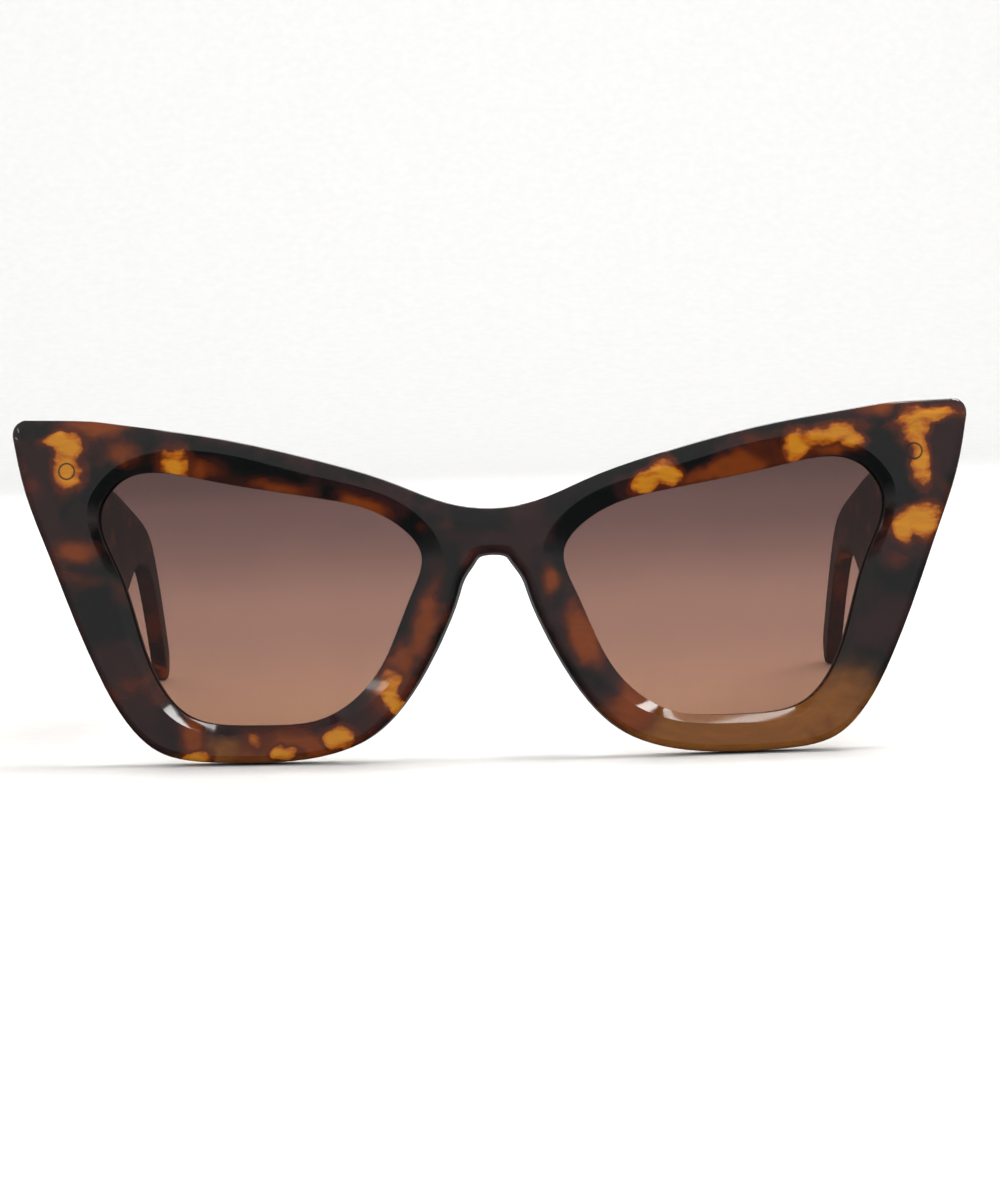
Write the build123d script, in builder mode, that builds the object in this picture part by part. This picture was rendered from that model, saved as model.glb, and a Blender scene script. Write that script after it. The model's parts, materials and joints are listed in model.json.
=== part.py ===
"""Cat eye sunglasses: a moulded front with two tinted lenses and two temples on small metal hinges.

The sunglasses stand open on a table, on the bottom of the rims and the tips of the temples.
+X is the wearer's left, +Y points back along the temples and +Z is up. The front leans back a little.
Left and right in the names are as seen from the front, so the pieces named right are on the +X side.
The right one of each pair is drawn first, on planes of its own, and the left one is its mirror.
"""

from build123d import *
from math import atan2, cos, hypot, radians, sin, sqrt
import os

os.makedirs("parts", exist_ok=True)

# Placing of the front above the table.
bridge_height = 31.48
bridge_setback = -69.11

# Front, drawn in its own plane: x from the middle outwards, y up from the bridge, measured at the face.
front_thickness = 5.2
wrap_angle = 4.0
brow_slope_height = 2.3
brow_slope_depth = 1.3
brow_slope_curve = 1.35
rim_roll = 1.1
rear_roll = 0.8
rim_bottom = -30.9

# Lens seat and lens.
bevel_depth = 1.5
lens_setback = 2.0
lens_thickness = 1.6
lens_curve_radius = 500.0
lens_blank_radius = 40.0
lens_grip = 0.8
lens_centre = (36.0, -6.0)

# Temple: thickness at the hinge and at the tip, and where its tip reaches, from the hinge axis.
temple_inner_x = 63.2
temple_thickness = 3.6
temple_tip_thickness = 2.8
temple_taper_start = 45.0
temple_edge_radius = 0.9
mostly_inward = 0.9
tip_middle = (122.6, -15.3)
tip_radius = 3.8
tip_ways = [(0.64, 0.77), (0.72, -0.69), (-0.66, -0.75)]

# Lug of the front that the temple meets.
lug_length = 3.5
lug_top = 16.5
lug_bottom = -2.3
parting_gap = 0.15

# Hinge: three barrels on a screw, with a leaf let into the front and one into the temple.
hinge_height = 9.1
barrel_radius = 1.25
barrel_height = 1.3
barrel_gap = 0.08
leaf_thickness = 1.0
leaf_sink = 0.2
leaf_height = 3.6
temple_leaf_length = 8.2
front_leaf_length = 7.4
leaf_start = 1.6
axis_behind_parting = 1.5
relief_radius = 1.55
screw_radius = 0.6
screw_fit = 0.01
screw_clearance = 0.05
screw_head_radius = 1.05
screw_head_height = 0.6
screw_slot_width = 0.3
screw_slot_depth = 0.3

# Round plug in the front, ahead of the lug.
peg_place = (65.6, 14.9)
peg_radius = 1.2
peg_length = 6.0
peg_edge = 0.15

# The front leans back until the temple tips touch the table too.
wrap_cos = cos(radians(wrap_angle))
wrap_sin = sin(radians(wrap_angle))
rim_depth = front_thickness + lens_centre[0] * wrap_sin
axis_depth = front_thickness + peg_place[0] * wrap_sin + lug_length + axis_behind_parting
tip_bottom = tip_middle[1] - tip_radius
lean = atan2(tip_bottom - rim_bottom, axis_depth + tip_middle[0] - rim_depth)

# The front's own directions, and the planes that the pieces are drawn on.
side_way = Vector(1, 0, 0)
up_way = Vector(0, sin(lean), cos(lean))
out_way = Vector(0, -cos(lean), sin(lean))
bridge_centre = Vector(0, bridge_setback, bridge_height)
axis_x = temple_inner_x - barrel_radius + leaf_sink


def front_point(x, y, out):
    """The place x to the side, y up and so far out from the bridge centre, in the front's own directions."""
    return bridge_centre + side_way * x + up_way * y + out_way * out


rim_plane = Plane(
    origin=bridge_centre,
    x_dir=side_way * wrap_cos - out_way * wrap_sin,
    z_dir=out_way * wrap_cos + side_way * wrap_sin,
)
side_plane = Plane(origin=front_point(temple_inner_x, 0, -axis_depth), x_dir=-out_way, z_dir=side_way)
plan_plane = Plane(origin=front_point(0, 0, -axis_depth), x_dir=side_way, z_dir=up_way)
hinge_plane = Plane(origin=front_point(axis_x, hinge_height, -axis_depth), x_dir=side_way, z_dir=up_way)
dome_plane = Plane(
    origin=rim_plane.from_local_coords((*lens_centre, 0)), x_dir=rim_plane.x_dir, z_dir=-rim_plane.y_dir
)

# Half outline of the front. The nose edge is further in at the back, where the wall flares to a saddle.
top_edge = [
    (0, 7.3), (7.6, 8.5), (15.5, 11.7), (24.5, 14.7), (34.8, 17.5), (45, 19.7), (59, 21.9), (71.4, 22.7),
]
corner_middle = (73.4, 22.0)
corner_end = (73.9, 20.2)
corner_share = 0.15
side_edge = [(72.2, 11.8), (68.6, 1.6), (65.2, -7.6), (61.7, -16.0), (57.6, -23.6), (52.2, -28.9)]
bottom_edge = [(45.0, -30.6), (37.0, rim_bottom), (28.0, -30.3), (19.6, -27.4)]
front_nose_edge = [(12.4, -19.6), (8.0, -11.6), (5.7, -6.0), (4.7, -3.1), (3.0, -0.7), (0, 0.5)]
rear_nose_edge = [(12.2, -19.6), (7.8, -11.6), (5.5, -6.0), (4.5, -3.3), (2.9, -1.0), (0, 0.1)]

# Directions that the outline runs in at its ends.
sideways = (1, 0)
corner_rise = (1, 0.03)
corner_fall = (-0.16, -1)

# Lens opening, and the line where the bevel round it starts, point for point.
lens_edge = [
    (60.2, 10.4), (57.2, 13.4), (45.0, 13.0), (28.0, 9.8), (14.5, 5.0), (11.1, 0.6), (12.9, -6.0),
    (18.6, -18.0), (26.0, -24.0), (37.4, -25.2), (48.0, -23.4), (54.0, -14.8), (58.4, -0.6),
]
bevel_edge = [
    (61.5, 11.2), (58.0, 14.9), (45.0, 17.2), (27.5, 12.9), (12.0, 7.0), (7.7, 0.6), (9.6, -6.6),
    (16.4, -19.4), (25.4, -25.3), (37.4, -26.5), (48.8, -24.5), (55.3, -15.2), (59.7, -0.8),
]

# Side view of the temple, from the hinge axis backwards.
temple_top = [(36, 13.8), (77, 10.5), (94, 7.6), (107, 1.0)]
temple_bottom = [(101.5, -3.6), (93, 0.6), (80, 2.0), (66, 0.8), (56, -2.2), (46, -4.9), (18, -3.0)]
temple_top_ways = [(1, -0.078), (0.77, -0.64)]
temple_bottom_ways = [(-0.75, 0.66), (-1, 0.02)]

# Nose pad: ovals along the nose edge, each with its depth, its middle, and half its length and width.
pad_turn = -64.0
pad_ovals = [
    (3.5, (11.4, -12.6), (8.8, 2.7)),
    (8.0, (10.4, -12.4), (6.8, 1.7)),
    (8.6, (10.3, -12.4), (6.6, 1.45)),
    (9.0, (10.2, -12.4), (6.1, 0.9)),
]


def shifted(points, amount, closed=False):
    """The points of a line, moved to the right of its run by the amount."""
    count = len(points)
    moved = []
    for i, (x, y) in enumerate(points):
        before = points[i - 1] if closed or i > 0 else points[i]
        after = points[(i + 1) % count] if closed or i < count - 1 else points[i]
        dx, dy = after[0] - before[0], after[1] - before[1]
        moved.append((x + dy / hypot(dx, dy) * amount, y - dx / hypot(dx, dy) * amount))
    return moved


def roll(depth, size):
    """How far a rounded edge of this size stands back, so deep below the face."""
    return size - sqrt(size**2 - max(size - depth, 0) ** 2)


def between(a, b, share):
    """The point at this share of the way from a to b."""
    return (a[0] + (b[0] - a[0]) * share, a[1] + (b[1] - a[1]) * share)


def behind_hinge(edge):
    """Whether the edge's middle is behind the hinge axis."""
    return side_plane.to_local_coords(edge @ 0.5).X > 0


def rim_outline(depth):
    """Half outline of the front, so deep below its face."""
    low_edge = roll(depth, rim_roll) + roll(front_thickness - depth, rear_roll)
    slope = brow_slope_height * max(1 - depth / brow_slope_depth, 0) ** brow_slope_curve
    top_drop = slope + roll(front_thickness - depth, rear_roll)
    share = depth / front_thickness
    nose_edge = [between(a, b, share) for a, b in zip(front_nose_edge, rear_nose_edge)]
    top = [(x, y - top_drop) for x, y in top_edge]
    middle = (corner_middle[0] - low_edge, corner_middle[1] - top_drop)
    lower = shifted([corner_end, *side_edge, *bottom_edge, *nose_edge[:-1]], low_edge)
    lower[0] = (lower[0][0] - top_drop * corner_share, lower[0][1] - top_drop * (1 - corner_share))
    arch_top = (0, nose_edge[-1][1] + low_edge)
    Spline(*top, tangents=[sideways, corner_rise])
    ThreePointArc(top[-1], middle, lower[0])
    Spline(*lower, arch_top, tangents=[corner_fall, (-sideways[0], -sideways[1])])
    Line(arch_top, top[0])


def dome_line(depth):
    """Half of the arc of a domed disc's section, from its middle to its edge."""
    half = lens_blank_radius / 2
    sag = lens_blank_radius**2 / (2 * lens_curve_radius)
    return [(0, -depth), (half, -depth - sag / 4), (lens_blank_radius, -depth - sag)]


# Lens: a domed disc trimmed to the opening, with the edge that sits in the rim's groove.
with BuildPart() as lens_right:
    with BuildSketch(dome_plane):
        with BuildLine():
            face_line = dome_line(lens_setback)
            back_line = dome_line(lens_setback + lens_thickness)
            ThreePointArc(*face_line)
            Line(face_line[-1], back_line[-1])
            ThreePointArc(*back_line)
            Line(back_line[0], face_line[0])
        make_face()
    revolve(axis=Axis(dome_plane.origin, rim_plane.z_dir))
    with BuildSketch(rim_plane):
        with BuildLine():
            Spline(*shifted(lens_edge, lens_grip, closed=True), periodic=True)
        make_face()
    extrude(amount=-2 * front_thickness, mode=Mode.INTERSECT)

# Hinge screw, head up.
stack_height = 3 * barrel_height + 2 * barrel_gap
with BuildPart() as hinge_screw_right:
    with BuildSketch(hinge_plane.offset(-stack_height / 2)):
        Circle(screw_radius)
    extrude(amount=stack_height)
    with BuildSketch(hinge_plane.offset(stack_height / 2)):
        Circle(screw_head_radius)
    extrude(amount=screw_head_height)
    with BuildSketch(hinge_plane.offset(stack_height / 2 + screw_head_height)):
        Rectangle(3 * screw_head_radius, screw_slot_width)
    extrude(amount=-screw_slot_depth, mode=Mode.SUBTRACT)


# Leaf on the front: the top and bottom barrels, and a plate let into the lug and the rim.
leaf_plane = side_plane.offset(leaf_sink - leaf_thickness)
with BuildPart() as front_hinge_leaf_right:
    for place in (-1, 1):
        middle = place * (barrel_height + barrel_gap)
        with BuildSketch(hinge_plane.offset(middle - barrel_height / 2)):
            Circle(barrel_radius)
            with Locations((barrel_radius - leaf_thickness / 2, -leaf_start)):
                Rectangle(leaf_thickness, 2 * leaf_start)
        extrude(amount=barrel_height)
    with BuildSketch(leaf_plane):
        with Locations((-(leaf_start + front_leaf_length) / 2, hinge_height)):
            RectangleRounded(front_leaf_length - leaf_start, leaf_height, leaf_height / 4)
    extrude(amount=leaf_thickness)
    with BuildSketch(hinge_plane.offset(-stack_height / 2)):
        Circle(screw_radius + screw_fit)
    extrude(amount=stack_height, mode=Mode.SUBTRACT)

# Leaf on the temple: the middle barrel, and a plate with a rounded end on the temple's inner face.
with BuildPart() as temple_hinge_leaf_right:
    with BuildSketch(hinge_plane.offset(-barrel_height / 2)):
        Circle(barrel_radius)
        with Locations((barrel_radius - leaf_thickness / 2, leaf_start)):
            Rectangle(leaf_thickness, 2 * leaf_start)
    extrude(amount=barrel_height)
    with BuildSketch(leaf_plane):
        with Locations(((leaf_start + temple_leaf_length - leaf_height / 2) / 2, hinge_height)):
            Rectangle(temple_leaf_length - leaf_height / 2 - leaf_start, leaf_height)
        with Locations((temple_leaf_length - leaf_height / 2, hinge_height)):
            Circle(leaf_height / 2)
    extrude(amount=leaf_thickness)
    with BuildSketch(hinge_plane.offset(-stack_height / 2)):
        Circle(screw_radius + screw_clearance)
    extrude(amount=stack_height, mode=Mode.SUBTRACT)

# Round plug in the front.
with BuildPart() as hinge_peg_right:
    with BuildSketch(rim_plane):
        with Locations(peg_place):
            Circle(peg_radius)
    extrude(amount=-peg_length)
    chamfer(hinge_peg_right.faces().sort_by(Axis(rim_plane.origin, rim_plane.z_dir))[-1].edges(), peg_edge)

# Half of the front: the rim, the bevel round the lens, the lug and the nose pad.
rim_levels = [0, 0.12, 0.35, 0.7, 1.0, 1.15, 1.25, 1.3, 4.4, 4.8, 5.06, 5.2]
with BuildPart() as front_frame:
    for level in rim_levels:
        with BuildSketch(rim_plane.offset(-level)):
            with BuildLine():
                rim_outline(level)
            make_face()
    loft(ruled=True)
    for depth, middle, size in pad_ovals:
        with BuildSketch(rim_plane.offset(-depth)):
            with Locations(middle):
                Ellipse(*size, rotation=pad_turn)
    loft(ruled=True)
    with BuildSketch(plan_plane.offset(lug_bottom)):
        lug_back = -axis_behind_parting - parting_gap
        with Locations((temple_inner_x + temple_thickness / 2, lug_back - lug_length)):
            Rectangle(temple_thickness, 2 * lug_length)
    extrude(amount=lug_top - lug_bottom)
    with BuildSketch(rim_plane):
        with BuildLine():
            Spline(*bevel_edge, periodic=True)
        make_face()
    with BuildSketch(rim_plane.offset(-bevel_depth)):
        with BuildLine():
            Spline(*lens_edge, periodic=True)
        make_face()
    loft(ruled=True, mode=Mode.SUBTRACT)
    with BuildSketch(rim_plane):
        with BuildLine():
            Spline(*lens_edge, periodic=True)
        make_face()
    extrude(amount=-2 * front_thickness, mode=Mode.SUBTRACT)
    add(lens_right.part, mode=Mode.SUBTRACT)
    add(front_hinge_leaf_right.part, mode=Mode.SUBTRACT)
    add(hinge_peg_right.part, mode=Mode.SUBTRACT)
    split(bisect_by=Plane.YZ)
    mirror(about=Plane.YZ)

# Temple: a blade that narrows to a curved tip.
tip_upper, tip_back, tip_lower = (
    (tip_middle[0] + tip_radius * x, tip_middle[1] + tip_radius * y) for x, y in tip_ways
)
inner_tip_x = temple_inner_x + temple_thickness - temple_tip_thickness
outer_x = temple_inner_x + temple_thickness
temple_end = tip_middle[0] + 2 * tip_radius
with BuildPart() as temple_right:
    with BuildSketch(side_plane):
        with BuildLine():
            top_start = (-axis_behind_parting, lug_top)
            bottom_start = (-axis_behind_parting, lug_bottom)
            Spline(top_start, *temple_top, tip_upper, tangents=temple_top_ways)
            ThreePointArc(tip_upper, tip_back, tip_lower)
            Spline(tip_lower, *temple_bottom, bottom_start, tangents=temple_bottom_ways)
            Line(bottom_start, top_start)
        make_face()
    extrude(amount=temple_thickness)
    with BuildSketch(plan_plane.offset(lug_top + 1)):
        with BuildLine():
            Polyline(
                (temple_inner_x, -2 * axis_behind_parting),
                (temple_inner_x, temple_taper_start),
                (inner_tip_x, temple_end),
                (outer_x, temple_end),
                (outer_x, -2 * axis_behind_parting),
                close=True,
            )
        make_face()
    extrude(amount=-3 * lug_top, mode=Mode.INTERSECT)
    outer_edges = temple_right.faces().sort_by(Axis.X)[-1].edges()
    fillet(outer_edges.filter_by(behind_hinge), temple_edge_radius)
    inner_faces = temple_right.faces().filter_by(lambda face: face.normal_at().X < -mostly_inward)
    taper_line = Axis(side_plane.origin, up_way)
    rim_edges = inner_faces.edges().filter_by(behind_hinge).filter_by(taper_line, reverse=True)
    fillet(rim_edges, temple_edge_radius)
    with BuildSketch(hinge_plane.offset(-stack_height)):
        Circle(relief_radius)
        with Locations((barrel_radius - leaf_thickness / 2 + leaf_sink, 0)):
            Rectangle(leaf_thickness, 2 * relief_radius)
    extrude(amount=2 * stack_height, mode=Mode.SUBTRACT)
    add(temple_hinge_leaf_right.part, mode=Mode.SUBTRACT)

front_frame.part.label = "front_frame"
export_step(front_frame.part, "parts/front_frame.step")

# The other half's pieces are mirror images.
paired = {
    "lens": lens_right,
    "temple": temple_right,
    "front_hinge_leaf": front_hinge_leaf_right,
    "temple_hinge_leaf": temple_hinge_leaf_right,
    "hinge_screw": hinge_screw_right,
    "hinge_peg": hinge_peg_right,
}
for name, piece in paired.items():
    with BuildPart() as other:
        mirror(piece.part, about=Plane.YZ)
    piece.part.label = f"{name}_right"
    other.part.label = f"{name}_left"
    export_step(piece.part, f"parts/{name}_right.step")
    export_step(other.part, f"parts/{name}_left.step")
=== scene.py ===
"""Looks for the cat eye sunglasses: tortoiseshell plastic, gradient lenses and small steel hinges.

They stand open on a pale sweep, at the photo's viewing angle, while the photo shows them folded.
Places come from the frame's boxes and joints.
"""

import json
import math

import bpy
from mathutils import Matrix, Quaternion, Vector


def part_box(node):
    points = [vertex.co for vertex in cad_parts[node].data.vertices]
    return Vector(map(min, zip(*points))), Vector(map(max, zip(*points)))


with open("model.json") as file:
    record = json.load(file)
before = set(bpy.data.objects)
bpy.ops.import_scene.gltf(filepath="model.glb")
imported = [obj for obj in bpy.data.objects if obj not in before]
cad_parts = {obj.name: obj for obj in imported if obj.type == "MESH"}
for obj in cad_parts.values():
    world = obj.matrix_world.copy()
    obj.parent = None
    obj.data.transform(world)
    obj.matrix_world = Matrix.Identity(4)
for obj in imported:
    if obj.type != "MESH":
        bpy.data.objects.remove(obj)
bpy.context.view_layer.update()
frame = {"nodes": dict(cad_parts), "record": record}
nodes = frame["nodes"]

MM = 0.001
front_low, front_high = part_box("front_frame")
lens_low, lens_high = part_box("lens_right")
peg_low, peg_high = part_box("hinge_peg_right")

# ---------------------------------------------------------------- node helpers

# Sockets of a colour Mix node, which has sockets of the same name for the other data types.
MIX_A, MIX_B, MIX_RESULT = 6, 7, 2


class Tree:
    """The node tree of a material or the world, with short calls for the nodes used here."""

    def __init__(self, tree):
        self.tree = tree

    def node(self, kind, **settings):
        made = self.tree.nodes.new(kind)
        for name, value in settings.items():
            setattr(made, name, value)
        return made

    def put(self, socket, value):
        if isinstance(value, bpy.types.NodeSocket):
            self.tree.links.new(value, socket)
        else:
            socket.default_value = value

    def vector(self, operation, a, b=None):
        made = self.node("ShaderNodeVectorMath", operation=operation)
        self.put(made.inputs[0], a)
        if b is not None:
            self.put(made.inputs["Scale" if operation == "SCALE" else 1], b)
        return made.outputs["Value" if operation == "LENGTH" else "Vector"]

    def math(self, operation, a, b=None, c=None):
        made = self.node("ShaderNodeMath", operation=operation)
        for i, value in enumerate(v for v in (a, b, c) if v is not None):
            self.put(made.inputs[i], value)
        return made.outputs[0]

    def noise(self, vector, scale, detail=2.0, roughness=0.5, output="Fac"):
        """Noise in lumps per unit of the vector: one value, or three with output Color."""
        made = self.node("ShaderNodeTexNoise")
        self.put(made.inputs["Vector"], vector)
        made.inputs["Scale"].default_value = scale
        made.inputs["Detail"].default_value = detail
        made.inputs["Roughness"].default_value = roughness
        return made.outputs[output]

    def ramp(self, value, stops, interpolation="LINEAR"):
        made = self.node("ShaderNodeValToRGB")
        made.color_ramp.interpolation = interpolation
        points = made.color_ramp.elements
        while len(points) < len(stops):
            points.new(0.5)
        for point, (place, colour) in zip(points, stops):
            point.position = place
            point.color = (*colour, 1) if isinstance(colour, tuple) else (colour, colour, colour, 1)
        self.put(made.inputs[0], value)
        return made.outputs[0]

    def mix(self, share, a, b, blend="MIX"):
        made = self.node("ShaderNodeMix", data_type="RGBA", blend_type=blend)
        self.put(made.inputs["Factor"], share)
        for socket, colour in ((MIX_A, a), (MIX_B, b)):
            self.put(made.inputs[socket], (*colour, 1) if isinstance(colour, tuple) else colour)
        return made.outputs[MIX_RESULT]

    def bump(self, height, strength, distance):
        made = self.node("ShaderNodeBump")
        made.inputs["Strength"].default_value = strength
        made.inputs["Distance"].default_value = distance
        self.put(made.inputs["Height"], height)
        return made.outputs[0]


def new_material(name):
    """An empty material, with its tree and its output node."""
    material = bpy.data.materials.new(name)
    material.use_nodes = True
    material.node_tree.nodes.clear()
    t = Tree(material.node_tree)
    output = t.node("ShaderNodeOutputMaterial")
    return material, t, output


def millimetres(t):
    """The object's own place of each point, in millimetres."""
    place = t.node("ShaderNodeTexCoord").outputs["Object"]
    return t.vector("SCALE", place, 1 / MM)


# ---------------------------------------------------------------- tortoiseshell

CHARCOAL = (0.0050, 0.0058, 0.0060)
PURPLE_BROWN = (0.021, 0.0088, 0.0095)
SMOKE = (0.014, 0.0105, 0.0105)
MAUVE_BROWN = (0.050, 0.0215, 0.0190)
WARM_BROWN = (0.090, 0.036, 0.028)
RED_BROWN = (0.070, 0.014, 0.0055)
RUST = (0.15, 0.032, 0.006)
ORANGE = (0.36, 0.095, 0.008)
AMBER = (0.46, 0.18, 0.012)
HONEY_BROWN = (0.175, 0.064, 0.015)

NEAR_PUSH = 4.0  # millimetres that the swirl pushes the patches, per unit of noise
WIDE_PUSH = 11.0  # and the clouds
PATCH_BLEND = 0.35  # how softly patches that touch run together
ACETATE_IOR = 1.49


def field(t, place, patches):
    """Highest of the patches' fields: 1 in the middle of a patch, 0 on its edge, below 0 outside."""
    highest = None
    for centre, size, turn in patches:
        offset = t.vector("SUBTRACT", place, centre)
        if turn:
            rotate = t.node("ShaderNodeVectorRotate", rotation_type="Y_AXIS")
            t.put(rotate.inputs["Vector"], offset)
            rotate.inputs["Angle"].default_value = math.radians(turn)
            offset = rotate.outputs[0]
        share = t.vector("DIVIDE", offset, size)
        inside = t.math("SUBTRACT", 1.0, t.vector("LENGTH", share))
        highest = inside if highest is None else t.math("SMOOTH_MAX", highest, inside, PATCH_BLEND)
    return highest


def tortoiseshell(name, amber, brown, scatter, wash=(), ring=None):
    """Dark plastic with amber and brown patches at these places, and scattered ones of its own.

    wash holds the places of a wide honey brown area, and ring the middle and radius of the line round a peg.
    """
    material, t, output = new_material(name)
    place = millimetres(t)
    swirl = t.noise(place, 0.11, detail=3.0, roughness=0.55, output="Color")
    swirl = t.vector("SUBTRACT", swirl, (0.5, 0.5, 0.5))
    near = t.vector("ADD", place, t.vector("SCALE", swirl, NEAR_PUSH))
    wide = t.vector("ADD", place, t.vector("SCALE", swirl, WIDE_PUSH))

    # Charcoal and purple-brown clouds under everything.
    clouds = t.noise(wide, 0.085, detail=3.0, roughness=0.5)
    colour = t.ramp(clouds, scatter["clouds"])
    if wash:
        share = t.math("MULTIPLY_ADD", clouds, 0.5, field(t, wide, wash))
        share = t.ramp(share, [(0.05, 0.0), (0.85, 1.0)], "EASE")
        colour = t.mix(share, colour, HONEY_BROWN)
    share = t.math("MULTIPLY_ADD", clouds, 1.6, t.math("SUBTRACT", field(t, near, brown), 0.75))
    rust = t.ramp(share, [(0.25, RED_BROWN), (0.8, RUST)], "EASE")
    share = t.ramp(share, [(0.0, 0.0), (0.7, 1.0)], "EASE")
    colour = t.mix(share, colour, rust)

    # Fine streaks inside the plastic.
    streaks = t.noise(t.vector("MULTIPLY", near, (0.5, 0.5, 1.6)), 0.6, detail=4.0, roughness=0.6)

    # Scattered patches, longer along the brow and the temples than across them.
    long_place = t.vector("MULTIPLY", near, scatter["stretch"])
    spots = t.noise(long_place, scatter["scale"], detail=2.0, roughness=0.45)
    spots = t.math("MULTIPLY", t.math("SUBTRACT", spots, scatter["level"]), 3.2)
    ragged = t.noise(place, 0.42, detail=3.0, roughness=0.6)
    ragged = t.math("SUBTRACT", ragged, 0.5)
    rough_edge = t.math("MULTIPLY_ADD", ragged, 0.8, field(t, near, amber))
    heat = t.math("MAXIMUM", spots, rough_edge)
    halo = t.ramp(t.math("ADD", heat, 0.45), [(0.0, 0.0), (0.5, 0.85)], "EASE")
    colour = t.mix(halo, colour, RED_BROWN)
    share = t.ramp(heat, [(0.0, 0.0), (0.22, 1.0)], "EASE")
    depth = t.math("MULTIPLY_ADD", t.math("SUBTRACT", clouds, 0.5), 0.9, heat)
    depth = t.math("MULTIPLY_ADD", t.math("SUBTRACT", streaks, 0.5), 1.1, depth)
    hot = t.ramp(depth, [(0.0, RUST), (0.22, ORANGE), (0.5, AMBER)])
    colour = t.mix(share, colour, hot)

    if ring:
        middle, radius = ring
        off = t.vector("SUBTRACT", t.vector("ABSOLUTE", place), middle)
        away = t.vector("LENGTH", t.vector("MULTIPLY", off, (1.0, 0.0, 1.0)))
        edge = t.math("ABSOLUTE", t.math("SUBTRACT", away, radius))
        share = t.ramp(edge, [(0.05, 0.9), (0.22, 0.0)])
        colour = t.mix(share, colour, CHARCOAL)

    shade = t.ramp(streaks, [(0.3, 0.88), (0.7, 1.10)])
    colour = t.mix(1.0, colour, shade, "MULTIPLY")

    smudge = t.noise(place, 0.35, detail=4.0, roughness=0.65)
    roughness = t.ramp(smudge, [(0.35, 0.045), (0.7, 0.13)])
    ripple = t.noise(place, 0.16, detail=1.0)
    grain = t.noise(place, 2.5, detail=1.0)
    height = t.math("MULTIPLY_ADD", grain, 0.006, ripple)

    shader = t.node("ShaderNodeBsdfPrincipled")
    t.put(shader.inputs["Base Color"], colour)
    t.put(shader.inputs["Roughness"], roughness)
    t.put(shader.inputs["Normal"], t.bump(height, 0.10, 0.4 * MM))
    shader.inputs["IOR"].default_value = ACETATE_IOR
    shader.inputs["Coat Weight"].default_value = 0.35
    shader.inputs["Coat Roughness"].default_value = 0.02
    t.put(output.inputs["Surface"], shader.outputs[0])
    return material


# ---------------------------------------------------------------- lens and metals

TINT_TOP = (0.335, 0.25, 0.24)
TINT_MIDDLE = (0.48, 0.355, 0.315)
TINT_LOW = (0.575, 0.42, 0.34)
LENS_IOR = 1.5
STAIN_SHADE = 0.62


def tinted_lens(name, low, high):
    """Clear plastic whose brown tint fades from the brow down.

    Light passes both faces, so each holds half the tint.
    """
    material, t, output = new_material(name)
    place = millimetres(t)
    split = t.node("ShaderNodeSeparateXYZ")
    t.put(split.inputs[0], place)
    height = t.node("ShaderNodeMapRange")
    t.put(height.inputs["Value"], split.outputs["Z"])
    height.inputs["From Min"].default_value = low / MM
    height.inputs["From Max"].default_value = high / MM
    haze = t.noise(place, 0.05, detail=2.0)
    level = t.math("MULTIPLY_ADD", haze, 0.08, height.outputs[0])
    tint = t.ramp(level, [(0.04, TINT_LOW), (0.45, TINT_MIDDLE), (0.85, TINT_TOP)], "EASE")
    smudge = t.noise(place, 0.3, detail=5.0, roughness=0.7)
    clear = t.node("ShaderNodeBsdfTransparent")
    t.put(clear.inputs["Color"], tint)
    gloss = t.node("ShaderNodeBsdfGlossy")
    gloss.inputs["Color"].default_value = (1, 1, 1, 1)
    t.put(gloss.inputs["Roughness"], t.ramp(smudge, [(0.4, 0.02), (0.75, 0.09)]))
    fresnel = t.node("ShaderNodeFresnel")
    fresnel.inputs["IOR"].default_value = LENS_IOR
    # Light that leaves through the far face isn't bent here, so that face mirrors nothing.
    outer_face = t.math("SUBTRACT", 1.0, t.node("ShaderNodeNewGeometry").outputs["Backfacing"])
    both = t.node("ShaderNodeMixShader")
    t.put(both.inputs[0], t.math("MULTIPLY", fresnel.outputs[0], outer_face))
    t.put(both.inputs[1], clear.outputs[0])
    t.put(both.inputs[2], gloss.outputs[0])
    t.put(output.inputs["Surface"], both.outputs[0])
    return material


def steel(name, tone, grain_scale, low_rough, high_rough):
    """Polished steel with fine scratches along its length."""
    material, t, output = new_material(name)
    place = millimetres(t)
    along_piece = t.vector("MULTIPLY", place, (6.0, 0.6, 6.0))
    grain = t.noise(along_piece, grain_scale, detail=5.0, roughness=0.7)
    stain = t.noise(place, 0.6, detail=3.0)
    dark = tuple(STAIN_SHADE * part for part in tone)
    shader = t.node("ShaderNodeBsdfPrincipled")
    t.put(shader.inputs["Base Color"], t.ramp(stain, [(0.35, tone), (0.72, dark)]))
    shader.inputs["Metallic"].default_value = 1.0
    t.put(shader.inputs["Roughness"], t.ramp(grain, [(0.3, low_rough), (0.7, high_rough)]))
    t.put(shader.inputs["Normal"], t.bump(grain, 0.15, 0.02 * MM))
    t.put(output.inputs["Surface"], shader.outputs[0])
    return material


# ---------------------------------------------------------------- patches of the front

middle_z = (front_high.z + front_low.z) / 2 / MM
face_y = front_low.y / MM + 3.0
peg_x = (peg_low.x + peg_high.x) / 2 / MM
peg_z = (peg_low.z + peg_high.z) / 2 / MM


def at(x, z):
    """A place in the front: millimetres to the side, and above the middle of its height."""
    return (x, face_y, middle_z + z)


def on_peg(side, x, z):
    """A place in the front, from the middle of a peg."""
    return (side * (peg_x + x), face_y, peg_z + z)


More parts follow.
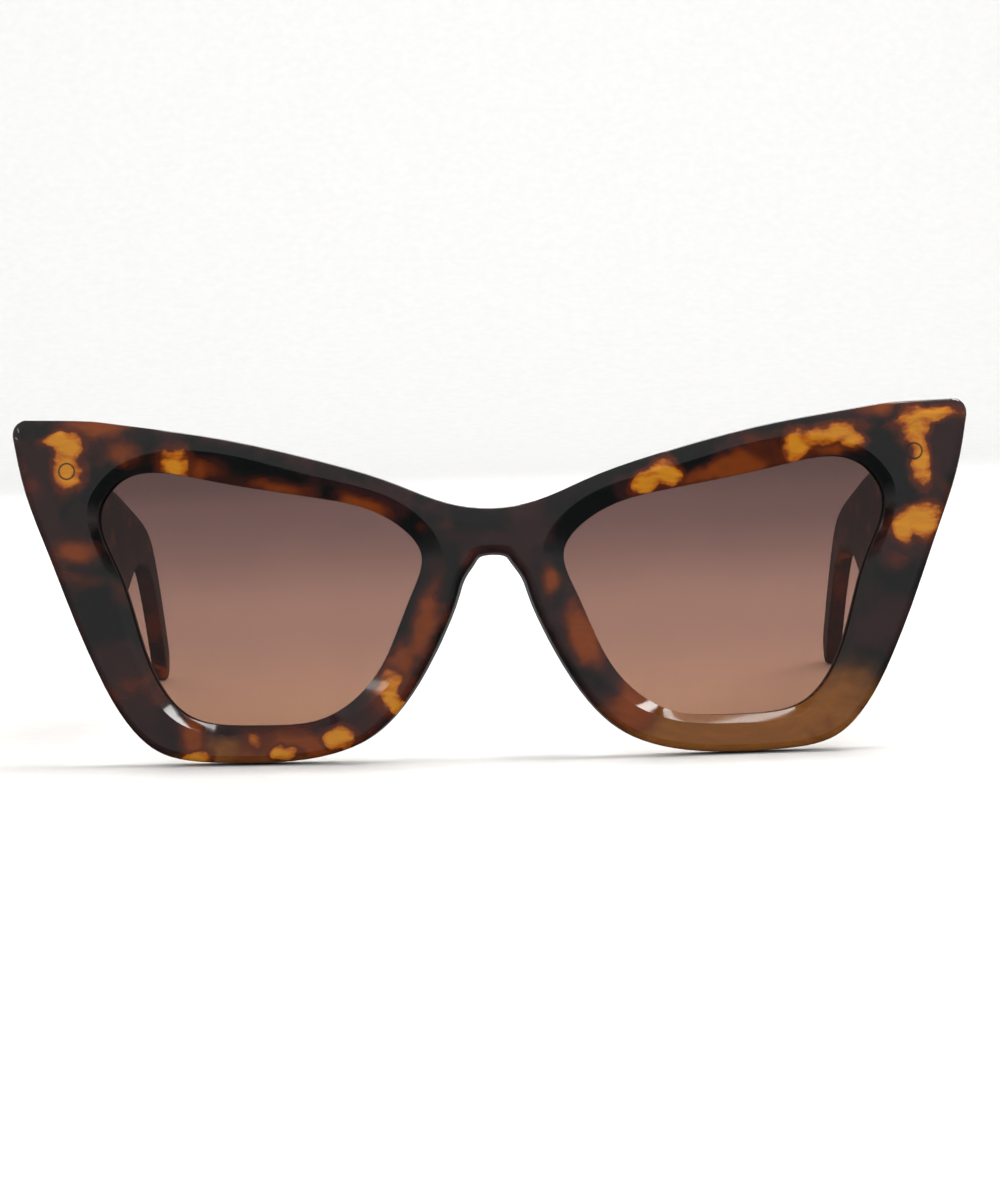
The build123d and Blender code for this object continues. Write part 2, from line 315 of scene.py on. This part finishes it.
# A patch is its middle, its half sizes in millimetres and its turn about Y in degrees.
THROUGH = 14.0  # half size that takes a patch through the front's or a temple's thickness
PEG_RADIUS = 1.2
front_amber = [
    (on_peg(-1, 0.0, 0.2), (2.4, THROUGH, 3.6), 0),
    (on_peg(-1, -0.2, 3.4), (2.4, THROUGH, 2.4), 0),
    (on_peg(-1, 1.6, 4.4), (2.8, THROUGH, 1.2), 10),
    (on_peg(1, 0.2, 3.6), (2.6, THROUGH, 3.4), 0),
    (on_peg(1, 2.2, 5.0), (5.2, THROUGH, 1.4), 8),
    (on_peg(1, 0.9, -0.6), (1.7, THROUGH, 4.6), 12),
    (at(65.0, 8.8), (4.2, THROUGH, 2.1), 20),
    (at(66.6, 7.7), (2.3, THROUGH, 2.3), 0),
    (at(63.2, 7.4), (2.0, THROUGH, 2.4), 0),
    (at(-48.6, 19.4), (2.6, THROUGH, 3.0), 0),
    (at(47.2, 19.6), (2.4, THROUGH, 2.8), 0),
    (at(52.2, 21.6), (5.6, THROUGH, 1.7), 14),
    (at(55.9, 20.8), (2.8, THROUGH, 1.8), -30),
    (at(24.0, 14.6), (2.6, THROUGH, 1.9), 20),
    (at(27.0, 16.2), (2.0, THROUGH, 2.6), 0),
    (at(-15.9, -17.6), (1.5, THROUGH, 4.0), 36),
    (at(-24.4, -22.3), (2.1, THROUGH, 1.9), 0),
    (at(-32.2, -25.2), (2.8, THROUGH, 1.5), 0),
    (at(-46.5, -25.6), (2.8, THROUGH, 1.4), 0),
]
front_brown = [
    (at(-61.5, 25.4), (9.0, THROUGH, 2.6), -3),
    (at(61.9, 26.4), (6.4, THROUGH, 2.2), 6),
    (at(-56.4, 20.9), (5.0, THROUGH, 3.2), 0),
    (at(-46.0, 18.6), (11.0, THROUGH, 3.0), -11),
    (at(-34.0, 15.6), (9.0, THROUGH, 2.6), -13),
    (at(-20.5, 12.6), (6.0, THROUGH, 2.4), -20),
    (at(38.0, 17.0), (14.0, THROUGH, 2.6), 11),
    (at(52.0, 19.6), (8.0, THROUGH, 2.8), 8),
    # The next two patches, on the left nose bevel, are partly the plastic's red-brown and partly a painted
    # glow of light caught by the bevel.
    (at(-10.4, -3.4), (3.6, THROUGH, 12.0), -12),
    (at(-15.0, -13.0), (3.4, THROUGH, 9.0), -28),
    (at(-46.8, -22.4), (3.0, THROUGH, 4.8), 0),
    (at(-30.0, -24.0), (12.0, THROUGH, 3.6), 4),
    (at(8.8, 0.2), (2.0, THROUGH, 3.2), 0),
    (at(13.6, -8.8), (3.0, THROUGH, 6.0), 20),
    (at(-64.5, 6.9), (4.8, THROUGH, 2.8), 0),
    (at(21.0, -19.5), (5.0, THROUGH, 5.0), 0),
]
front_wash = [
    (at(32.0, -25.0), (20.0, THROUGH, 9.0), -6),
    (at(46.0, -23.0), (16.0, THROUGH, 12.0), 18),
    (at(-34.0, -26.5), (17.0, THROUGH, 4.0), 0),
]

front_scatter = {
    "clouds": [(0.44, CHARCOAL), (0.54, PURPLE_BROWN), (0.64, PURPLE_BROWN), (0.74, RED_BROWN)],
    "stretch": (0.8, 1.0, 1.0), "scale": 0.12, "level": 0.74,
}
shell = tortoiseshell(
    "tortoiseshell_front", front_amber, front_brown, front_scatter,
    wash=front_wash, ring=((peg_x, 0.0, peg_z), PEG_RADIUS),
)

# ---------------------------------------------------------------- patches of the temples

hinge = next(joint for joint in frame["record"]["behaviour"]["joints"] if joint["name"] == "right_hinge")
hinge_place = Vector(hinge["pos_m"]) / MM
up_way = Vector(hinge["axis"])
back_way = up_way.cross(Vector((1, 0, 0)))


def along(side, back, up):
    """A place in a temple: millimetres behind the hinge pin, and above the middle of the hinge."""
    place = hinge_place + back_way * back + up_way * up
    return (side * place.x, place.y, place.z)


temple_scatter = {
    "clouds": [(0.40, SMOKE), (0.50, MAUVE_BROWN), (0.60, WARM_BROWN), (0.72, RED_BROWN)],
    "stretch": (1.0, 0.55, 1.25), "scale": 0.13, "level": 0.605,
}
left_amber = [
    (along(-1, 12.0, -7.6), (THROUGH, 7.0, 2.2), 0),
    (along(-1, 19.5, -7.4), (THROUGH, 4.4, 2.0), 0),
    (along(-1, 25.0, -5.6), (THROUGH, 4.6, 1.8), 0),
    (along(-1, 30.5, -3.8), (THROUGH, 4.6, 1.5), 0),
    (along(-1, 43.0, 4.4), (THROUGH, 2.8, 1.7), 0),
    (along(-1, 50.5, 3.2), (THROUGH, 4.0, 1.5), 0),
    (along(-1, 57.0, 0.0), (THROUGH, 3.0, 1.3), 0),
    (along(-1, 68.0, 1.6), (THROUGH, 4.4, 1.9), 0),
    (along(-1, 90.0, -3.0), (THROUGH, 4.6, 1.6), 0),
]
left_brown = [
    (along(-1, 16.0, -6.0), (THROUGH, 20.0, 6.0), 0),
    (along(-1, 55.0, 1.0), (THROUGH, 24.0, 6.0), 0),
    (along(-1, 112.0, -18.0), (THROUGH, 16.0, 10.0), 0),
]
right_amber = [
    (along(1, 22.0, 1.0), (THROUGH, 5.0, 1.8), 0),
    (along(1, 34.0, -8.0), (THROUGH, 5.0, 1.6), 0),
    (along(1, 58.0, 2.4), (THROUGH, 5.0, 1.8), 0),
    (along(1, 66.0, 0.4), (THROUGH, 3.6, 1.5), 0),
    (along(1, 96.0, -6.0), (THROUGH, 4.4, 1.8), 0),
]
right_brown = [
    (along(1, 22.0, -2.0), (THROUGH, 22.0, 7.0), 0),
    (along(1, 64.0, 0.0), (THROUGH, 18.0, 6.0), 0),
    (along(1, 104.0, -12.0), (THROUGH, 16.0, 10.0), 0),
]
left_shell = tortoiseshell("tortoiseshell_left_temple", left_amber, left_brown, temple_scatter)
right_shell = tortoiseshell("tortoiseshell_right_temple", right_amber, right_brown, temple_scatter)
lens = tinted_lens("gradient_tint", lens_low.z, lens_high.z)
leaf_metal = steel("hinge_steel", (0.62, 0.58, 0.52), 1.4, 0.16, 0.34)
screw_metal = steel("screw_steel", (0.72, 0.70, 0.67), 2.2, 0.10, 0.26)

looks = {
    "front_frame": shell,
    "hinge_peg": shell,
    "temple_left": left_shell,
    "temple_right": right_shell,
    "lens": lens,
    "front_hinge_leaf": leaf_metal,
    "temple_hinge_leaf": leaf_metal,
    "hinge_screw": screw_metal,
}
for name, piece in nodes.items():
    look = next(material for start, material in looks.items() if name.startswith(start))
    for slot in piece.material_slots:
        slot.material = look

# ---------------------------------------------------------------- floor, light and camera

BEND_STEPS = 16


def sweep():
    """A pale floor that curves up into a backdrop."""
    near, far, rise, bend, half = -7.0, 1.1, 2.2, 0.7, 5.0
    profile = [(near, 0.0), (far, 0.0)]
    for step in range(1, BEND_STEPS + 1):
        turn = math.radians(90 * step / BEND_STEPS)
        profile.append((far + bend * math.sin(turn), bend * (1 - math.cos(turn))))
    profile.append((far + bend, rise))
    corners = [(x, y, z) for y, z in profile for x in (-half, half)]
    faces = [(i, i + 1, i + 3, i + 2) for i in range(0, len(corners) - 2, 2)]
    mesh = bpy.data.meshes.new("floor")
    mesh.from_pydata(corners, [], faces)
    mesh.shade_smooth()
    floor = bpy.data.objects.new("floor", mesh)
    bpy.context.scene.collection.objects.link(floor)
    material, t, output = new_material("paper")
    place = t.node("ShaderNodeTexCoord").outputs["Object"]
    fibre = t.noise(place, 180.0, detail=4.0)
    shader = t.node("ShaderNodeBsdfPrincipled")
    t.put(shader.inputs["Base Color"], t.ramp(fibre, [(0.3, 0.72), (0.7, 0.75)]))
    shader.inputs["Roughness"].default_value = 0.8
    shader.inputs["Specular IOR Level"].default_value = 0.2
    t.put(output.inputs["Surface"], shader.outputs[0])
    mesh.materials.append(material)
    floor.visible_glossy = False


def softbox(name, place, aim, width, height, power, colour=(1, 1, 1), mirrored=True):
    """An area light, facing down if it has no aim. One that isn't mirrored doesn't show in the gloss."""
    lamp = bpy.data.lights.new(name, "AREA")
    lamp.shape = "RECTANGLE"
    lamp.size = width
    lamp.size_y = height
    lamp.energy = power
    lamp.color = colour
    holder = bpy.data.objects.new(name, lamp)
    holder.location = place
    if aim is not None:
        holder.rotation_mode = "QUATERNION"
        holder.rotation_quaternion = (Vector(aim) - Vector(place)).to_track_quat("-Z", "Y")
    holder.visible_glossy = mirrored
    bpy.context.scene.collection.objects.link(holder)


sweep()
heart = Vector((0, (front_low.y + front_high.y) / 2, (front_low.z + front_high.z) / 2))
softbox("fill_top", (0, 0.2, 2.4), None, 2.4, 2.4, 9.0, mirrored=False)
softbox("fill_wall", (0, 0.9, 1.2), (0, 1.7, 0.1), 3.0, 0.8, 17.5, mirrored=False)
softbox("fill_front", (0.2, -1.6, 0.9), heart, 1.6, 1.0, 16.0, mirrored=False)
softbox("softbox_right", (0.22, 0.02, 0.62), None, 0.56, 0.24, 4.4, (1.0, 0.98, 0.95))
softbox("softbox_rear", (-0.25, 0.72, 0.45), heart, 0.80, 0.25, 3.4, (1.0, 0.95, 0.88))
softbox("softbox_left", (-0.75, -0.35, 0.55), heart, 0.05, 0.5, 0.25, (1.0, 0.97, 0.93))

world = bpy.data.worlds.new("studio")
world.use_nodes = True
room = Tree(world.node_tree)
upward = room.node("ShaderNodeSeparateXYZ")
room.put(upward.inputs[0], room.node("ShaderNodeTexCoord").outputs["Generated"])
height = room.math("MULTIPLY_ADD", upward.outputs["Z"], 0.5, 0.5)
glow = room.ramp(height, [(0.30, 0.012), (0.47, 0.20), (0.56, (0.36, 0.355, 0.347))])
background = world.node_tree.nodes["Background"]
room.put(background.inputs["Color"], glow)
background.inputs["Strength"].default_value = 1.0
bpy.context.scene.world = world
bpy.context.scene.view_settings.view_transform = "Standard"

IMAGE = (1000, 1200)
SENSOR = 36
DISTANCE = 0.50
ELEVATION = math.radians(4.5)
ROLL = math.radians(1.4)
SHARE_OF_WIDTH = 0.953  # of the picture that the front takes up
OFF_CENTRE = (-0.0055, 0.0145)  # where the front's middle is, as shares of the picture's height

width = front_high.x - front_low.x
shown_height = width / SHARE_OF_WIDTH * IMAGE[1] / IMAGE[0]
back = Vector((0, -math.cos(ELEVATION), math.sin(ELEVATION)))
turned = (-back).to_track_quat("-Z", "Y") @ Quaternion((0, 0, 1), -ROLL)
aim = heart - turned @ Vector((OFF_CENTRE[0] * shown_height, OFF_CENTRE[1] * shown_height, 0))
eye = bpy.data.cameras.new("camera")
eye.sensor_width = SENSOR
eye.lens = SENSOR * DISTANCE / shown_height
eye.clip_start = 0.01
camera = bpy.data.objects.new("camera", eye)
camera.rotation_mode = "QUATERNION"
camera.rotation_quaternion = turned
camera.location = aim + back * DISTANCE
bpy.context.scene.collection.objects.link(camera)
bpy.context.scene.camera = camera
